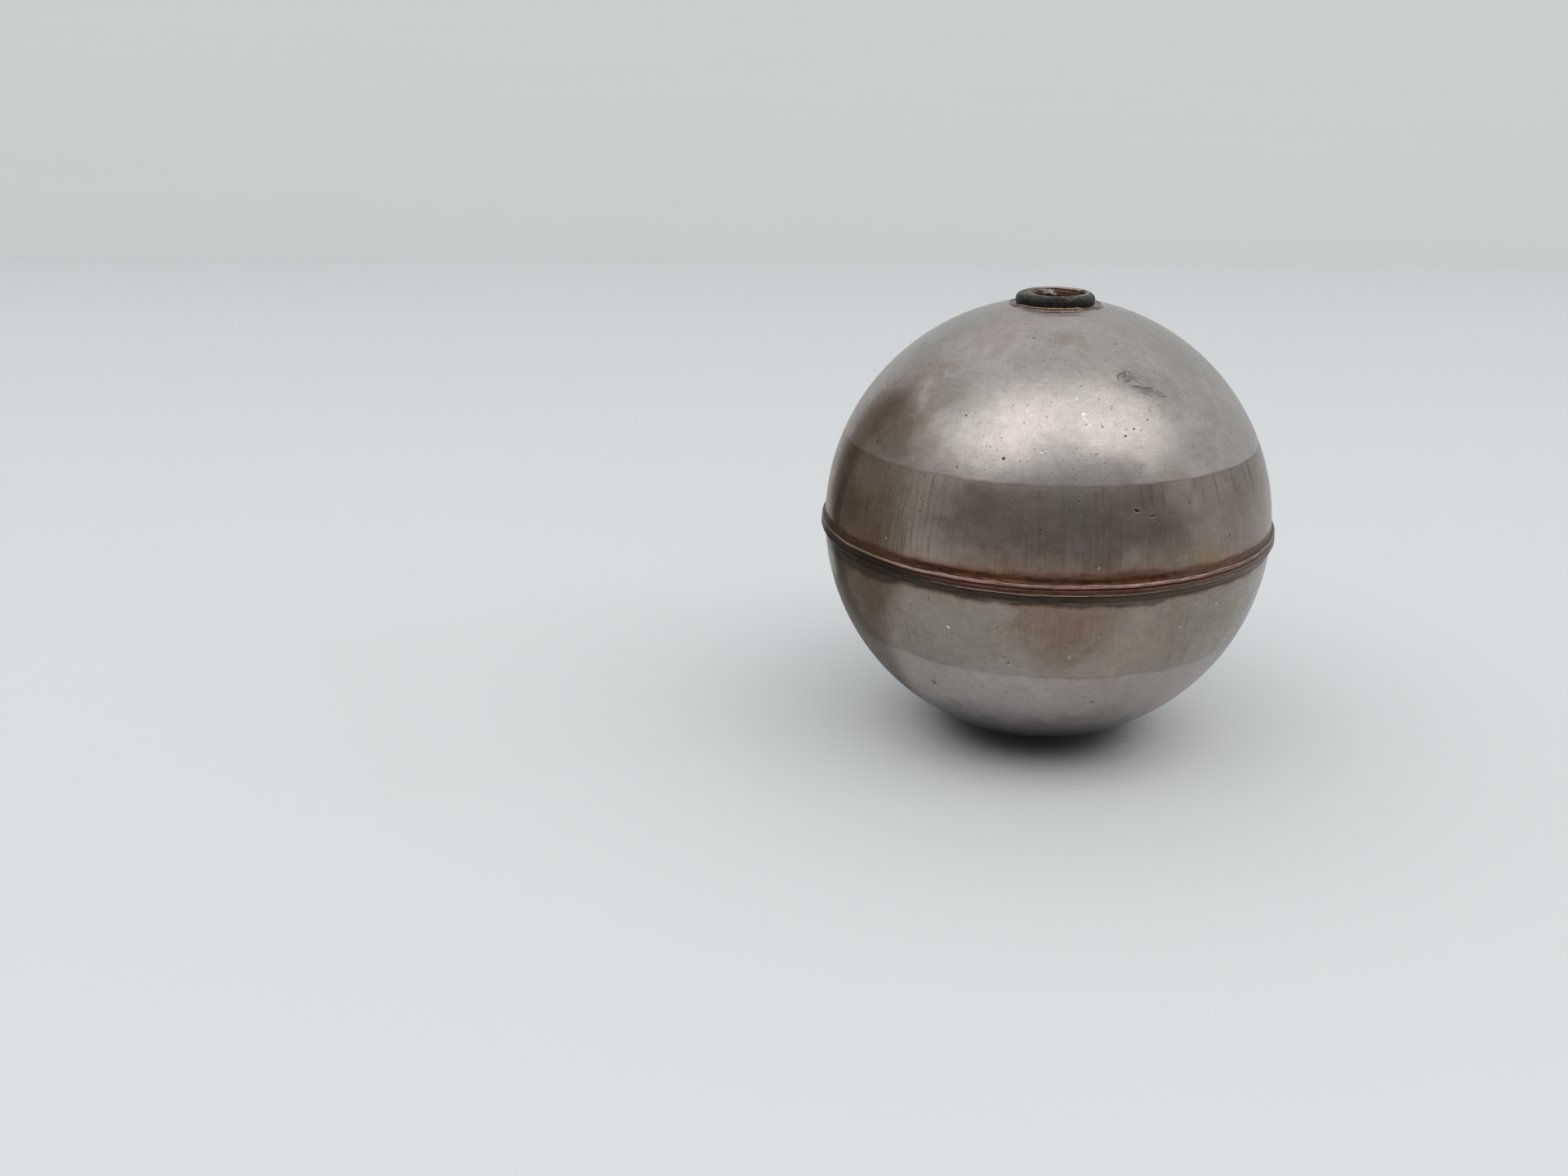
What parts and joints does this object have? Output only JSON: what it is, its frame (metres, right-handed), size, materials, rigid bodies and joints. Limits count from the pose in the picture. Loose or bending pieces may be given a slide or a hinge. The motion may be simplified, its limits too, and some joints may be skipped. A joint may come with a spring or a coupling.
{
  "type": "ball float",
  "caption": "Hollow stainless ball float for a float valve: pressed half shells copper-brazed at a lipped equator seam, with a blind threaded bush on top.",
  "frame": {"origin": "centre of the bush's flat seat, on the float's axis", "axes": "+Z out of the threaded hole, away from the ball, with the ball below; +X and +Y across the axis, the pictured side facing -Y"},
  "size_m": [0.0644, 0.0644, 0.0645],
  "materials": {
    "shell": "satin pressed stainless steel with brown heat tint",
    "seam_braze": "oxidised copper braze",
    "bush": "black heat-oxidised turned steel",
    "bush_braze": "pinkish copper braze"
  },
  "bodies": {
    "root": {"upper_shell": "shell", "lower_shell": "shell", "seam_braze": "seam_braze", "upper_seam_fillet": "seam_braze", "lower_seam_fillet": "seam_braze", "threaded_bush": "bush", "bush_braze": "bush_braze", "flange_braze": "bush_braze"}
  },
  "joints": []
}
